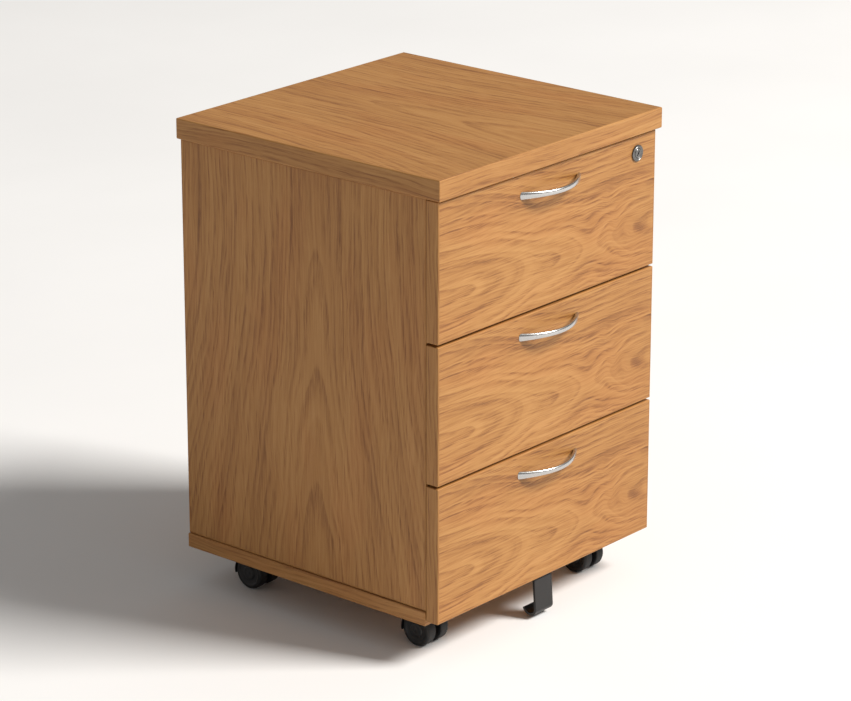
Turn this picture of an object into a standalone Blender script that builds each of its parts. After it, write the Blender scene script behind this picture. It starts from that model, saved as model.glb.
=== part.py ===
"""A three-drawer rolling pedestal cabinet: melamine boards, steel trays on ball runners, twin-wheel castors.

Metres, +Z up. The drawers open towards -Y and the lock is on the +X side. The origin is on the floor, below
the centre of the whole object's box. Lengths are written in millimetres and multiplied by MM.
"""

import math

import bmesh
import bpy
from mathutils import Matrix, Vector

MM = 0.001
GAP = 0.3 * MM  # between pieces that touch on the real object

# Boards
TOP_WIDTH, TOP_DEPTH, TOP_THICK = 404 * MM, 400 * MM, 25 * MM
BOARD = 18 * MM  # thickness of every other board
BODY_WIDTH = 393 * MM  # over the two side panels
BASE_WIDTH, BASE_DEPTH = 396 * MM, 375 * MM
ARRIS = 1.2 * MM  # radius of the edging's corners

# Heights above the floor
CASTOR_HEIGHT = 47 * MM
TOTAL_HEIGHT = 583 * MM
FRONT_LOWEST = 53.5 * MM
FRONT_HEIGHT, FRONT_GAP = 165.5 * MM, 3 * MM
FRONT_WIDTH = 395 * MM
FACE_SETBACK = 5.5 * MM  # drawer faces behind the top's front edge

# Drawers, from the lowest to the highest
DRAWERS = ("lower", "middle", "upper")
TRAY_RISE = 18.5 * MM  # tray bottom above its front's lower edge
TRAY_WIDTH, TRAY_DEPTH, TRAY_HEIGHT = 331.6 * MM, 346 * MM, 105 * MM
TRAY_WALL = 1.2 * MM

# Handles
HANDLE_DROP = 25 * MM  # centre line below the front's upper edge
HANDLE_LENGTH, HANDLE_REACH = 110 * MM, 21 * MM
HANDLE_PAD = 8 * MM  # length of each end that rests on the face
HANDLE_BAR = 4.2 * MM  # thickness at the middle
HANDLE_END_HEIGHT, HANDLE_MIDDLE_HEIGHT = 9.5 * MM, 6.4 * MM

# Ball runners, heights measured from the runner's centre line
RUNNER_RISE = 40 * MM  # centre line above the tray's bottom
RUNNER_SHEET = 1.2 * MM
OUTER_HALF, INNER_HALF, CAGE_HALF = 17.5 * MM, 11 * MM, 14.2 * MM
OUTER_START, OUTER_LENGTH = 22 * MM, 330 * MM  # start is behind the carcass's front
INNER_START, INNER_LENGTH = 5 * MM, 338 * MM
CAGE_START, CAGE_LENGTH = 176 * MM, 130 * MM

# Lock
LOCK_INSET, LOCK_DROP = 36 * MM, 21.2 * MM  # from the upper front's right and upper edges
ROSETTE_RADIUS, BARREL_RADIUS, CORE_RADIUS = 10 * MM, 8 * MM, 5.6 * MM
CAM_LENGTH, CAM_WIDTH, CAM_THICK = 14 * MM, 6 * MM, 2 * MM
LOCK_BAR_LOW, LOCK_BAR_HIGH = 88 * MM, 546 * MM
LOCK_BAR_WIDTH, LOCK_BAR_THICK = 14 * MM, 1.9 * MM

# Anti-tilt foot
FOOT_WIDTH, FOOT_THICK = 32 * MM, 3 * MM

# Castors, from the kingpin's axis
CASTOR_X, CASTOR_INSET = 147 * MM, 54.9 * MM  # inset from the base's front and back edges
TRAIL = 12.6 * MM  # axle ahead of the kingpin
WHEEL_RADIUS, WHEEL_INNER, WHEEL_OUTER = 20 * MM, 4.3 * MM, 18.3 * MM
AXLE_RADIUS, AXLE_HALF, BORE_RADIUS = 2.5 * MM, 15.2 * MM, 2.8 * MM
HOOD_OUTER, HOOD_INNER, HOOD_HALF_WIDTH = 22.8 * MM, 21 * MM, 18.5 * MM
HOOD_BACK, HOOD_FRONT = -13, 140  # degrees round the axle, from straight back over the top
WEB_HALF, HUB_RADIUS = 4 * MM, 12 * MM
PLATE_SIZE, PLATE_THICK = 40 * MM, 2 * MM
PIN_BOTTOM = 24 * MM

# Places along Y that everything else is measured from
TOP_FRONT = -(TOP_DEPTH + HANDLE_REACH - FACE_SETBACK) / 2 + HANDLE_REACH - FACE_SETBACK
TOP_BACK = TOP_FRONT + TOP_DEPTH
FACE = TOP_FRONT + FACE_SETBACK
FRONT_BACK = FACE + BOARD
CARCASS_FRONT = FRONT_BACK + 0.8 * MM
BASE_BACK = CARCASS_FRONT + BASE_DEPTH
BASE_TOP = CASTOR_HEIGHT + BOARD
TOP_UNDERSIDE = TOTAL_HEIGHT - TOP_THICK
INNER_HALF_WIDTH = BODY_WIDTH / 2 - BOARD

OAK, WHITE_STEEL, ZINC = (0.62, 0.40, 0.20, 1), (0.62, 0.63, 0.64, 1), (0.60, 0.61, 0.63, 1)
CHROME, BLACK = (0.72, 0.71, 0.69, 1), (0.012, 0.012, 0.013, 1)


def clear_scene():
    for old in list(bpy.data.objects):
        bpy.data.objects.remove(old, do_unlink=True)


def material(name, color, roughness, metallic):
    made = bpy.data.materials.get(name)
    if made is None:
        made = bpy.data.materials.new(name)
        made.use_nodes = True
        shader = made.node_tree.nodes["Principled BSDF"]
        shader.inputs["Base Color"].default_value = color
        shader.inputs["Roughness"].default_value = roughness
        shader.inputs["Metallic"].default_value = metallic
    return made


def oak():
    return material("oak_melamine", OAK, 0.5, 0.0)


def tray_steel():
    return material("tray_steel", WHITE_STEEL, 0.45, 0.2)


def zinc():
    return material("zinc_steel", ZINC, 0.35, 0.9)


def chrome():
    return material("satin_chrome", CHROME, 0.28, 1.0)


def black_plastic():
    return material("black_plastic", BLACK, 0.45, 0.0)


def black_steel():
    return material("black_steel", BLACK, 0.4, 0.3)


def rubber():
    return material("wheel_tread", BLACK, 0.6, 0.0)


def place(name, mesh, finish, location=(0, 0, 0), parent=None):
    """A named object holding the mesh. Its location is under its parent, if it has one."""
    piece = bpy.data.objects.new(name, mesh)
    bpy.context.collection.objects.link(piece)
    if not mesh.materials:
        mesh.materials.append(finish)
    piece.location = location
    piece.parent = parent
    return piece


def pivot(name, location, parent=None):
    made = bpy.data.objects.new(name, None)
    bpy.context.collection.objects.link(made)
    made.empty_display_size = 0.02
    made.location = location
    made.parent = parent
    return made


def mesh_from(name, build, smooth_angle=None):
    """A mesh filled by build(bm), shaded smooth below the angle in degrees if one is given."""
    bm = bmesh.new()
    build(bm)
    mesh = bpy.data.meshes.new(name)
    bm.to_mesh(mesh)
    bm.free()
    if smooth_angle is not None:
        mesh.shade_smooth()
        mesh.set_sharp_from_angle(angle=math.radians(smooth_angle))
    return mesh


def box_mesh(name, low, high):
    low, high = Vector(low), Vector(high)

    def build(bm):
        size = Matrix.Diagonal((*(high - low), 1))
        bmesh.ops.create_cube(bm, size=1, matrix=Matrix.Translation((low + high) / 2) @ size)

    return mesh_from(name, build)


def prism_mesh(name, outline, axis, low, high, smooth_angle=None):
    """An outline extruded from low to high along X or Y. The outline's points are (y, z) or (x, z)."""

    def at(point, along):
        return (along, point[0], point[1]) if axis == "X" else (point[0], along, point[1])

    def build(bm):
        base = bm.faces.new([bm.verts.new(at(point, low)) for point in outline])
        grown = bmesh.ops.extrude_face_region(bm, geom=[base])
        moved = [v for v in grown["geom"] if isinstance(v, bmesh.types.BMVert)]
        step = (high - low, 0, 0) if axis == "X" else (0, high - low, 0)
        bmesh.ops.translate(bm, verts=moved, vec=step)
        bmesh.ops.recalc_face_normals(bm, faces=bm.faces)

    return mesh_from(name, build, smooth_angle)


def turned_mesh(name, profile, axis, steps=24, smooth_angle=35):
    """A profile of (radius, place along the axis) turned round X, Y or Z. Points on the axis close it."""
    closed = profile[0][0] > 0  # a ring rather than a solid with both ends on the axis

    def at(radius, along, angle):
        a, b = radius * math.cos(angle), radius * math.sin(angle)
        return {"X": (along, a, b), "Y": (a, along, b), "Z": (a, b, along)}[axis]

    def build(bm):
        rings = []
        for radius, along in profile:
            count = steps if radius > 0 else 1
            turns = [2 * math.pi * i / steps for i in range(count)]
            rings.append([bm.verts.new(at(radius, along, turn)) for turn in turns])
        pairs = list(zip(rings, rings[1:]))
        if closed:
            pairs.append((rings[-1], rings[0]))
        for first, second in pairs:
            for i in range(steps):
                j = (i + 1) % steps
                corners = [first[i % len(first)], first[j % len(first)]]
                corners += [second[j % len(second)], second[i % len(second)]]
                bm.faces.new(list(dict.fromkeys(corners)))
        bmesh.ops.recalc_face_normals(bm, faces=bm.faces)

    return mesh_from(name, build, smooth_angle)


def combined(name, base, steps, smooth_angle=None):
    """The base mesh after a list of (UNION or DIFFERENCE, mesh) Booleans, as one new mesh."""
    temporary = [place(name + "_base", base, None)]
    for i, (operation, tool) in enumerate(steps):
        cutter = place(f"{name}_tool_{i}", tool, None)
        temporary.append(cutter)
        change = temporary[0].modifiers.new(f"step_{i}", "BOOLEAN")
        change.operation = operation
        change.solver = "EXACT"
        change.object = cutter
    graph = bpy.context.evaluated_depsgraph_get()
    mesh = bpy.data.meshes.new_from_object(temporary[0].evaluated_get(graph))
    for item in temporary:
        bpy.data.objects.remove(item, do_unlink=True)
    mesh.name = name
    mesh.materials.clear()
    if smooth_angle is not None:
        mesh.shade_smooth()
        mesh.set_sharp_from_angle(angle=math.radians(smooth_angle))
    return mesh


def arc(centre, radius, start, end, count):
    """Points on an arc, from start to end in degrees."""
    turns = [math.radians(start + (end - start) * i / (count - 1)) for i in range(count)]
    return [(centre[0] + radius * math.cos(t), centre[1] + radius * math.sin(t)) for t in turns]


def board(name, low, high, parent=None):
    """A melamine board with rounded edging. low and high are under its parent."""
    piece = place(name, box_mesh(name, low, high), oak(), parent=parent)
    rounding = piece.modifiers.new("arris", "BEVEL")
    rounding.width = ARRIS
    rounding.segments = 2
    return piece


def build_carcass():
    half_top, half_body, half_base = TOP_WIDTH / 2, BODY_WIDTH / 2, BASE_WIDTH / 2
    side_back = BASE_BACK - 0.4 * MM
    low, high = BASE_TOP + GAP, TOP_UNDERSIDE - GAP
    board("top_panel", (-half_top, TOP_FRONT, TOP_UNDERSIDE), (half_top, TOP_BACK, TOTAL_HEIGHT))
    board("base_panel", (-half_base, CARCASS_FRONT, CASTOR_HEIGHT), (half_base, BASE_BACK, BASE_TOP))
    board("left_side_panel", (-half_body, CARCASS_FRONT, low), (-INNER_HALF_WIDTH, side_back, high))
    board("right_side_panel", (INNER_HALF_WIDTH, CARCASS_FRONT, low), (half_body, side_back, high))
    inside = INNER_HALF_WIDTH - GAP
    board("back_panel", (-inside, side_back - BOARD, low), (inside, side_back, high))


def front_low(index):
    return FRONT_LOWEST + index * (FRONT_HEIGHT + FRONT_GAP)


def runner_height(index):
    return front_low(index) + TRAY_RISE + RUNNER_RISE


def channel(name, open_edge, web_edge, half_height, start, length, sheet=RUNNER_SHEET):
    """A C-shaped strip along Y: its web is at web_edge and its two lips reach to open_edge, both along X."""
    inward = math.copysign(sheet, open_edge - web_edge)
    web_inner = web_edge + inward
    outline = [(web_edge, -half_height), (open_edge, -half_height), (open_edge, sheet - half_height)]
    outline += [(web_inner, sheet - half_height), (web_inner, half_height - sheet)]
    outline += [(open_edge, half_height - sheet), (open_edge, half_height), (web_edge, half_height)]
    return prism_mesh(name, outline, "Y", start, start + length)


def build_fixed_runners():
    for index, drawer in enumerate(DRAWERS):
        for side, sign in (("left", -1), ("right", 1)):
            name = f"{drawer}_{side}_runner_fixed"
            web = sign * (INNER_HALF_WIDTH - GAP)
            lips = sign * (INNER_HALF_WIDTH - 7.5 * MM)
            mesh = channel(name, lips, web, OUTER_HALF, CARCASS_FRONT + OUTER_START, OUTER_LENGTH)
            place(name, mesh, zinc(), (0, 0, runner_height(index)))


def build_cages(drawer, index):
    slide = pivot(f"{drawer}_cage_slide", (0, CARCASS_FRONT, runner_height(index)))
    for side, sign in (("left", -1), ("right", 1)):
        name = f"{drawer}_{side}_ball_cage"
        web = sign * (INNER_HALF_WIDTH - 2.3 * MM)
        lips = sign * (INNER_HALF_WIDTH - 8.5 * MM)
        mesh = channel(name, lips, web, CAGE_HALF, CAGE_START, CAGE_LENGTH, 0.8 * MM)
        place(name, mesh, zinc(), parent=slide)


def handle_mesh():
    """A bow with flat ends on the face. In it, y is 0 at the face and negative outwards."""
    stations, sides = 18, 12
    half = HANDLE_LENGTH / 2
    reach = HANDLE_REACH - GAP
    inner_half, inner_reach = half - HANDLE_PAD, reach - HANDLE_BAR

    def build(bm):
        rings = []
        for i in range(stations + 1):
            s = -math.cos(math.pi * i / stations)
            outer = Vector((s * half, -reach * (1 - s * s)))
            inner = Vector((s * inner_half, -inner_reach * (1 - s * s)))
            centre, radial = (outer + inner) / 2, (outer - inner) / 2
            height = HANDLE_MIDDLE_HEIGHT + (HANDLE_END_HEIGHT - HANDLE_MIDDLE_HEIGHT) * abs(s) ** 2.5
            ring = []
            for k in range(sides):
                turn = 2 * math.pi * k / sides
                point = centre + radial * math.cos(turn)
                ring.append(bm.verts.new((point.x, point.y, height / 2 * math.sin(turn))))
            rings.append(ring)
        for first, second in zip(rings, rings[1:]):
            for k in range(sides):
                j = (k + 1) % sides
                bm.faces.new([first[k], first[j], second[j], second[k]])
        bm.faces.new(rings[0])
        bm.faces.new(rings[-1])
        bmesh.ops.recalc_face_normals(bm, faces=bm.faces)

    return mesh_from("bow_handle", build, 40)


def tray_mesh():
    """An open steel tray. Its origin is at the middle of its front wall's foot."""
    half = TRAY_WIDTH / 2

    def build(bm):
        def ring(x, front, back, z):
            corners = ((-x, front), (x, front), (x, back), (-x, back))
            return [bm.verts.new((*corner, z)) for corner in corners]

        outer_low, outer_high = (ring(half, 0, TRAY_DEPTH, z) for z in (0, TRAY_HEIGHT))
        inset = half - TRAY_WALL
        inner_low, inner_high = (
            ring(inset, TRAY_WALL, TRAY_DEPTH - TRAY_WALL, z) for z in (TRAY_WALL, TRAY_HEIGHT)
        )
        bm.faces.new(outer_low)
        bm.faces.new(inner_low)
        for first, second in ((outer_low, outer_high), (outer_high, inner_high), (inner_high, inner_low)):
            for i in range(4):
                j = (i + 1) % 4
                bm.faces.new([first[i], first[j], second[j], second[i]])
        bmesh.ops.recalc_face_normals(bm, faces=bm.faces)

    return mesh_from("steel_tray", build)


def build_drawer(drawer, index, tray, handle):
    """The drawer's pieces, under an empty at the foot of its front's back face. Returns the empty."""
    low = front_low(index)
    slide = pivot(f"{drawer}_drawer_slide", (0, FRONT_BACK, low))
    half = FRONT_WIDTH / 2
    front = board(f"{drawer}_drawer_front", (-half, -BOARD, 0), (half, 0, FRONT_HEIGHT), slide)
    place(f"{drawer}_drawer_tray", tray, tray_steel(), (0, GAP, TRAY_RISE), slide)
    handle_place = (0, -BOARD - GAP, FRONT_HEIGHT - HANDLE_DROP)
    place(f"{drawer}_drawer_handle", handle, chrome(), handle_place, slide)
    for side, sign in (("left", -1), ("right", 1)):
        name = f"{drawer}_{side}_runner_moving"
        web = sign * (TRAY_WIDTH / 2 + GAP)
        lips = sign * (INNER_HALF_WIDTH - 4 * MM)
        mesh = channel(name, lips, web, INNER_HALF, INNER_START, INNER_LENGTH)
        place(name, mesh, zinc(), (0, 0, TRAY_RISE + RUNNER_RISE), slide)
    return slide, front


def build_lock(slide, front):
    """Housing and turning core in the upper front, and the lock bar on the right side panel."""
    x, z = FRONT_WIDTH / 2 - LOCK_INSET, FRONT_HEIGHT - LOCK_DROP
    hole = turned_mesh("lock_hole", [(0, -2 * BOARD), (BARREL_RADIUS + GAP, -2 * BOARD),
                                     (BARREL_RADIUS + GAP, BOARD), (0, BOARD)], "Y")
    cutter = place("lock_hole_cutter", hole, oak(), (x, 0, z), slide)
    cutter.hide_render = True
    cutter.display_type = "WIRE"
    opening = front.modifiers.new("lock_hole", "BOOLEAN")
    opening.object = cutter
    opening.solver = "EXACT"

    bore = CORE_RADIUS + GAP
    rim, face, back = -BOARD - GAP - 1.6 * MM, -BOARD - GAP, -0.4 * MM
    profile = [(bore, rim), (ROSETTE_RADIUS - 0.6 * MM, rim), (ROSETTE_RADIUS, rim + 0.6 * MM)]
    profile += [(ROSETTE_RADIUS, face), (BARREL_RADIUS, face), (BARREL_RADIUS, back), (bore, back)]
    place("lock_housing", turned_mesh("lock_housing", profile, "Y"), chrome(), (x, 0, z), slide)

    nose, tail = rim - 0.3 * MM, 1 * MM
    core = turned_mesh("core", [(0, nose), (CORE_RADIUS, nose), (CORE_RADIUS, tail), (0, tail)], "Y")
    half_cam = CAM_WIDTH / 2
    cam = box_mesh("cam", (-half_cam, tail - 0.4 * MM, -half_cam), (half_cam, tail + CAM_THICK, CAM_LENGTH))
    keyway = box_mesh("keyway", (-0.7 * MM, nose - MM, -3.4 * MM), (0.7 * MM, nose + 3 * MM, 3.4 * MM))
    mesh = combined("lock_core", core, [("UNION", cam), ("DIFFERENCE", keyway)], 35)
    place("lock_core", mesh, chrome(), (x, 0, z), slide)


def build_lock_bar():
    """A flat steel strip behind the fronts, with a short hook above each drawer's right runner."""
    outside = INNER_HALF_WIDTH - GAP
    inside = outside - LOCK_BAR_THICK
    front = 2.7 * MM
    strip = box_mesh("strip", (inside, front, LOCK_BAR_LOW), (outside, front + LOCK_BAR_WIDTH, LOCK_BAR_HIGH))
    hooks = []
    for index in range(len(DRAWERS)):
        low = runner_height(index) + INNER_HALF + 2 * MM
        corner = (inside - MM, front + MM, low)
        far = (inside + 0.5 * MM, front + LOCK_BAR_WIDTH - MM, low + 8 * MM)
        hooks.append(("UNION", box_mesh("hook", corner, far)))
    mesh = combined("lock_bar", strip, hooks)
    place("lock_bar", mesh, zinc(), (0, CARCASS_FRONT, 0))


def foot_mesh():
    """A bent steel strip: a tab under the drawer front, a leg that leans forward and a curl at the floor.

    In it, y is 0 at the drawer front's back face and z is 0 at the front's lower edge.
    """
    half = FOOT_THICK / 2
    line = [(-1.5 * MM, -half - GAP), (-8 * MM, -half - GAP)]
    line += arc((-8 * MM, -5.8 * MM), 4 * MM, 90, 175, 5)
    line += arc((-8.2 * MM, -41.2 * MM), 6.4 * MM, 185, 262, 6)
    line += arc((-7.2 * MM, -37.6 * MM), 10.6 * MM, 275, 340, 5)
    left, right = [], []
    for i, point in enumerate(line):
        before, after = line[max(i - 1, 0)], line[min(i + 1, len(line) - 1)]
        along = (Vector(after) - Vector(before)).normalized()
        across = Vector((-along.y, along.x)) * half
        left.append(tuple(Vector(point) + across))
        right.append(tuple(Vector(point) - across))
    return prism_mesh("foot", left + right[::-1], "X", -FOOT_WIDTH / 2, FOOT_WIDTH / 2, 40)


def hood_mesh():
    """The castor's hood: a fender over both wheels and a web between them, with its kingpin on the origin."""
    axle = (-TRAIL, WHEEL_RADIUS)
    outline = arc(axle, HOOD_OUTER, HOOD_BACK, HOOD_FRONT, 15)
    outline += arc(axle, HOOD_INNER, HOOD_FRONT, HOOD_BACK, 15)
    fender = prism_mesh("fender", outline, "X", -HOOD_HALF_WIDTH, HOOD_HALF_WIDTH)
    between = arc(axle, (HOOD_OUTER + HOOD_INNER) / 2, HOOD_BACK, HOOD_FRONT, 15)
    between += arc(axle, HUB_RADIUS, HOOD_FRONT + 12, 360 + HOOD_BACK - 8, 11)
    web = prism_mesh("web", between, "X", -WEB_HALF, WEB_HALF)
    clearance = prism_mesh("clearance", arc(axle, HOOD_INNER, 0, 345, 24), "X", -0.03, 0.03)
    high = CASTOR_HEIGHT - GAP - PLATE_THICK - 1.5 * MM
    collar = turned_mesh("collar", [(0, 30 * MM), (6.5 * MM, 30 * MM), (6.5 * MM, high), (0, high)], "Z", 20)
    collar = combined("collar", collar, [("DIFFERENCE", clearance)])
    pin_end = PIN_BOTTOM - MM
    pin_hole = turned_mesh("pin_hole", [(0, pin_end), (BORE_RADIUS, pin_end), (BORE_RADIUS, 0.06), (0, 0.06)],
                           "Z", 16)
    reach = HOOD_HALF_WIDTH
    bore_profile = [(0, -reach), (BORE_RADIUS, -reach), (BORE_RADIUS, reach), (0, reach)]
    bore = turned_mesh("bore", bore_profile, "X", 16)
    bore.transform(Matrix.Translation((0, *axle)))
    steps = [("UNION", web), ("UNION", collar), ("DIFFERENCE", pin_hole), ("DIFFERENCE", bore)]
    return combined("castor_hood", fender, steps, 35)


def plate_mesh():
    """The mounting plate with its kingpin, which hangs down on the origin's axis."""
    top = CASTOR_HEIGHT - GAP
    under = top - PLATE_THICK
    half = PLATE_SIZE / 2
    plate = box_mesh("plate", (-half, -half, under), (half, half, top))
    overlap, collar = under + MM, under - 1.2 * MM
    profile = [(0, overlap), (6 * MM, overlap), (6 * MM, collar), (AXLE_RADIUS, collar)]
    profile += [(AXLE_RADIUS, PIN_BOTTOM), (0, PIN_BOTTOM)]
    return combined("castor_plate", plate, [("UNION", turned_mesh("pin", profile, "Z", 16))], 35)


def wheel_mesh(sign):
    """One wheel about its axle, on the +X or the -X side of the hood's web."""
    inner, outer, radius = WHEEL_INNER, WHEEL_OUTER, WHEEL_RADIUS
    bore_end = AXLE_HALF + GAP
    profile = [(0, outer - 0.3 * MM), (8.5 * MM, outer - 0.3 * MM), (9.5 * MM, outer - 1.2 * MM)]
    profile += [(15 * MM, outer - 1.2 * MM), (16 * MM, outer)]
    profile += [(radius - 2.4 * MM, outer), (radius - 0.6 * MM, outer - 0.8 * MM), (radius, outer - 2.6 * MM)]
    profile += [(radius, inner + 1.6 * MM), (radius - 1.4 * MM, inner), (BORE_RADIUS, inner)]
    profile += [(BORE_RADIUS, bore_end), (0, bore_end)]
    return turned_mesh("wheel", [(r, sign * x) for r, x in profile], "X")


def build_castors():
    hood, plate = hood_mesh(), plate_mesh()
    wheels = {"left": wheel_mesh(-1), "right": wheel_mesh(1)}
    rod = [(0, -AXLE_HALF), (AXLE_RADIUS, -AXLE_HALF), (AXLE_RADIUS, AXLE_HALF), (0, AXLE_HALF)]
    axle = turned_mesh("axle", rod, "X", 16)
    for row, y in (("front", CARCASS_FRONT + CASTOR_INSET), ("rear", BASE_BACK - CASTOR_INSET)):
        for side, x in (("left", -CASTOR_X), ("right", CASTOR_X)):
            name = f"{row}_{side}_castor"
            swivel = pivot(f"{name}_swivel", (x, y, 0))
            place(f"{name}_plate", plate, zinc(), (x, y, 0))
            place(f"{name}_hood", hood, black_plastic(), parent=swivel)
            centre = (0, -TRAIL, WHEEL_RADIUS)
            place(f"{name}_axle", axle, zinc(), centre, swivel)
            for hand, mesh in wheels.items():
                place(f"{name}_{hand}_wheel", mesh, rubber(), centre, swivel)


def main():
    clear_scene()
    build_carcass()
    build_fixed_runners()
    tray, handle = tray_mesh(), handle_mesh()
    for index, drawer in enumerate(DRAWERS):
        build_cages(drawer, index)
        slide, front = build_drawer(drawer, index, tray, handle)
        if drawer == "upper":
            build_lock(slide, front)
        if drawer == "lower":
            place("anti_tilt_foot", foot_mesh(), black_steel(), parent=slide)
    build_lock_bar()
    build_castors()


main()
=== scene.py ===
"""The looks of a three-drawer rolling pedestal cabinet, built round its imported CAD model.

Metres, +Z up, the floor at z = 0. The drawers open towards -Y and the lock is on the +X side. Meshes are
written in the model's own frame, so every piece sits at the origin and rides on its CAD body.
"""

import math

import bmesh
import bpy
from mathutils import Matrix, Vector


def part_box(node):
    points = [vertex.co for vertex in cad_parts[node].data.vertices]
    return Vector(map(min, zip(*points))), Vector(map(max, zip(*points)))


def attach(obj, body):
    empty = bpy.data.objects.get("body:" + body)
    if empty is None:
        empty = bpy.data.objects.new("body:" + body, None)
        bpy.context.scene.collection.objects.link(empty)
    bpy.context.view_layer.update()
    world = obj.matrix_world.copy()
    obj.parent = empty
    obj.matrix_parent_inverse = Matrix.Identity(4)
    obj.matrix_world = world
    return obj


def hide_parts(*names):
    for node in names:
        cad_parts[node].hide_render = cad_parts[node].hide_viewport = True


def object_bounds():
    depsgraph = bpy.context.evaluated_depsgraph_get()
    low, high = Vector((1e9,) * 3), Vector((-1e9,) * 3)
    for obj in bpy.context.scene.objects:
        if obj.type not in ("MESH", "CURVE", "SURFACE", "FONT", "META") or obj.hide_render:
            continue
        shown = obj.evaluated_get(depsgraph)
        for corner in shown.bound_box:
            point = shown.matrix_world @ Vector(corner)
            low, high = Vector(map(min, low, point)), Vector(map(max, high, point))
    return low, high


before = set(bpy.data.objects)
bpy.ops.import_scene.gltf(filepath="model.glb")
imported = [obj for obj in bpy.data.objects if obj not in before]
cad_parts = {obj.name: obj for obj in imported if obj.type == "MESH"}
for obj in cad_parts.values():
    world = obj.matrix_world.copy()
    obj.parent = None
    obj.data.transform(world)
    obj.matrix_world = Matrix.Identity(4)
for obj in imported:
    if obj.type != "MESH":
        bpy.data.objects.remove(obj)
cad_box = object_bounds()

MM = 0.001
DRAWERS = ("lower", "middle", "upper")
SIDES = (("left", -1), ("right", 1))
ROWS = ("front", "rear")

# Boards
EDGING = 2.0 * MM  # thickness of the edging strip
ARRIS = 1.6 * MM  # radius of the edging's corners
GLUE_LINE = 0.16 * MM  # the hairline between a face and its edging
LOCK_HOLE = 8.3 * MM

# Steel and hardware
SHEET = 1.2 * MM
TRAY_BEND, TRAY_FLANGE = 2.6 * MM, 9 * MM
HANDLE_PAD, HANDLE_BAR = 8 * MM, 4.2 * MM
HANDLE_END_HEIGHT, HANDLE_MIDDLE_HEIGHT = 9.5 * MM, 6.4 * MM
CORE_RADIUS, BARREL_RADIUS, ROSETTE_RADIUS = 5.6 * MM, 8 * MM, 10 * MM
KEYWAY_SLANT = -35  # degrees from upright, negative towards +X
HOOD_OUTER, HOOD_INNER = 22.8 * MM, 21 * MM
HOOD_BACK, HOOD_FRONT = -13, 140  # degrees round the axle, from straight back over the top
WEB_HALF, HUB_RADIUS = 4 * MM, 12 * MM
COLLAR_RADIUS, COLLAR_FOOT = 6.5 * MM, 30 * MM
WHEEL_RADIUS = 20 * MM
BORE_RADIUS = 2.8 * MM  # the bores for the axle and the kingpin
BORE_END = 15.5 * MM  # where a wheel's blind bore stops, from the castor's middle
PIN_HOLE_END = 23 * MM  # height of the closed lower end of the hood's kingpin hole
BALL_RADIUS = 1.5 * MM

# Colours, linear
OAK_LIGHT, OAK_MIDDLE = (0.475, 0.240, 0.076, 1), (0.382, 0.175, 0.048, 1)
OAK_BROWN, OAK_DARK = (0.265, 0.107, 0.028, 1), (0.140, 0.050, 0.014, 1)
BLACK = (0.006, 0.006, 0.0065, 1)

MIX_FACTOR, MIX_A, MIX_B, MIX_RESULT = 0, 6, 7, 2  # sockets of a Mix node set to colour


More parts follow.
